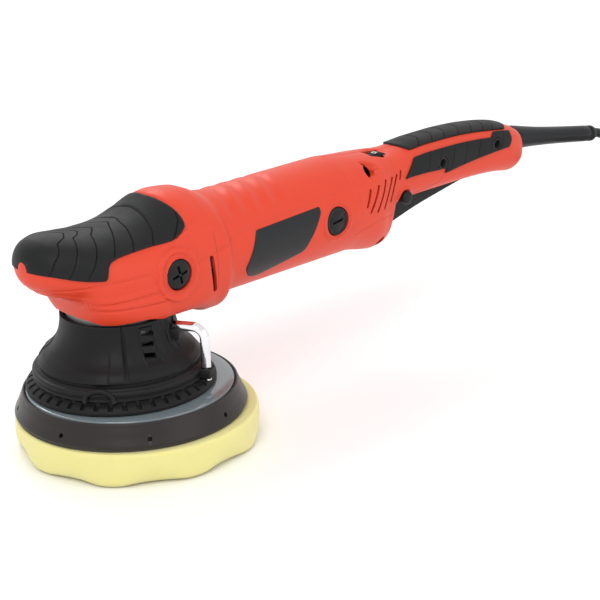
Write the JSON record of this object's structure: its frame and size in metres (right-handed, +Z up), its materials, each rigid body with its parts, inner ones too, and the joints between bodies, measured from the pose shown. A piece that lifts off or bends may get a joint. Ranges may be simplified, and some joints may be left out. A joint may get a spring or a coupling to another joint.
{
  "type": "orbital polisher",
  "caption": "Dual-action orbital polisher: rounded front grip, bell shroud over a round foam pad, in-line motor barrel, slim rear handle with paddle trigger, and a coiled mains cord.",
  "frame": {"origin": "on the foam pad's working face, where the spindle axis meets it", "axes": "+Z up along the spindle axis away from the pad's working face, +X along the tool from the front grip to the rear handle, -Y the side with the lock button"},
  "size_m": [0.7385, 0.2218, 0.1592],
  "materials": {
    "red_shell": "satin glass-filled plastic",
    "soft_grip": "matt moulded rubber",
    "black_shroud": "satin black plastic",
    "black_plastic": "black plastic",
    "plate_rim": "moulded polyurethane",
    "plate_disc": "grey-blue coated steel",
    "foam": "open-cell foam",
    "hook_layer": "hook fastener sheet",
    "cast_alloy": "cast alloy",
    "steel": "machined steel",
    "chrome": "bright plated",
    "bearing_steel": "ground steel",
    "laminations": "stacked laminations",
    "winding": "enamelled copper wire",
    "brass": "brass and copper",
    "carbon": "carbon",
    "fan_plastic": "moulded nylon",
    "plunger_plastic": "moulded nylon",
    "board": "circuit board",
    "cord_rubber": "black rubber"
  },
  "bodies": {
    "tool": {"bell_shroud": "black_shroud", "shroud_screws": "steel", "shroud_band": "black_shroud", "serrated_ring": "black_shroud", "lower_bearing": "bearing_steel", "upper_bearing": "bearing_steel", "bearing_retainer": "cast_alloy", "gear_housing": "cast_alloy", "hood": "red_shell", "front_overmould": "soft_grip", "side_plugs": "black_plastic", "motor_housing": "red_shell", "motor_screws": "steel", "badges": "black_plastic", "stator_core": "laminations", "stator_windings": "winding", "front_bearing": "bearing_steel", "rear_bearing": "bearing_steel", "brush_holders": "brass", "brushes": "carbon", "brush_springs": "bearing_steel", "brush_caps": "black_plastic", "handle_left": "red_shell", "handle_right": "red_shell", "handle_screws": "steel", "top_grip": "soft_grip", "side_grip_left": "soft_grip", "side_grip_right": "soft_grip", "trigger_pin": "steel", "trigger_spring": "bearing_steel", "switch_body": "black_plastic", "control_board": "board", "cable_clamp": "black_plastic", "cord_boot": "cord_rubber", "cord_tube": "cord_rubber", "cord_coil": "cord_rubber", "plug_body": "cord_rubber", "plug_pins": "chrome"},
    "drive": {"spindle": "steel", "crown_gear": "steel", "counterweight": "cast_alloy", "orbit_bearings": "bearing_steel"},
    "armature": {"armature_shaft": "steel", "pinion": "steel", "armature_core": "laminations", "armature_windings": "winding", "commutator": "brass", "fan": "fan_plastic"},
    "pad": {"pad_spindle": "steel", "pad_bolt": "steel", "backing_plate": "plate_rim", "plate_disc": "plate_disc", "hook_layer": "hook_layer", "foam_pad": "foam"},
    "trigger_body": {"trigger": "black_plastic"},
    "plunger_body": {"switch_plunger": "plunger_plastic"},
    "lock_body": {"lock_button": "black_plastic"},
    "dial_body": {"speed_dial": "black_plastic"},
    "key_body": {"hex_key": "chrome"}
  },
  "joints": [
    {"name": "spindle_spin", "type": "hinge", "parent": "tool", "child": "drive", "pos_m": [0, 0, 0.1], "axis": [0, 0, 1], "continuous": true},
    {"name": "armature_spin", "type": "hinge", "parent": "tool", "child": "armature", "pos_m": [0.1, 0, 0.114], "axis": [1, 0, 0], "continuous": true},
    {"name": "pad_spin", "type": "hinge", "parent": "drive", "child": "pad", "pos_m": [0.003, -0.0052, 0.04], "axis": [0, 0, 1], "continuous": true},
    {"name": "trigger_pull", "type": "hinge", "parent": "tool", "child": "trigger_body", "pos_m": [0.321, 0, 0.1075], "axis": [0, 1, 0], "range_deg": [0, 4], "stiffness_Nm_per_rad": 1.5, "springref_deg": -2.86, "deforming": ["trigger_spring"]},
    {"name": "switch_plunger_slide", "type": "slide", "parent": "tool", "child": "plunger_body", "axis": [0, 0, 1], "range_m": [0, 0.0038]},
    {"name": "lock_button_press", "type": "slide", "parent": "tool", "child": "lock_body", "axis": [0, 1, 0], "range_m": [0, 0.0025], "stiffness_N_per_m": 300, "springref_m": -0.002},
    {"name": "speed_dial_turn", "type": "hinge", "parent": "tool", "child": "dial_body", "pos_m": [0.234, 0, 0.131], "axis": [0, 1, 0], "range_deg": [-120, 150]},
    {"name": "hex_key_pull", "type": "slide", "parent": "tool", "child": "key_body", "axis": [0.4848, -0.8746, 0], "range_m": [0, 0.03]}
  ],
  "couplings": [
    {"joint": "armature_spin", "follows": "spindle_spin", "ratio": 4},
    {"joint": "switch_plunger_slide", "follows": "trigger_pull", "m_per_rad": 0.053}
  ]
}
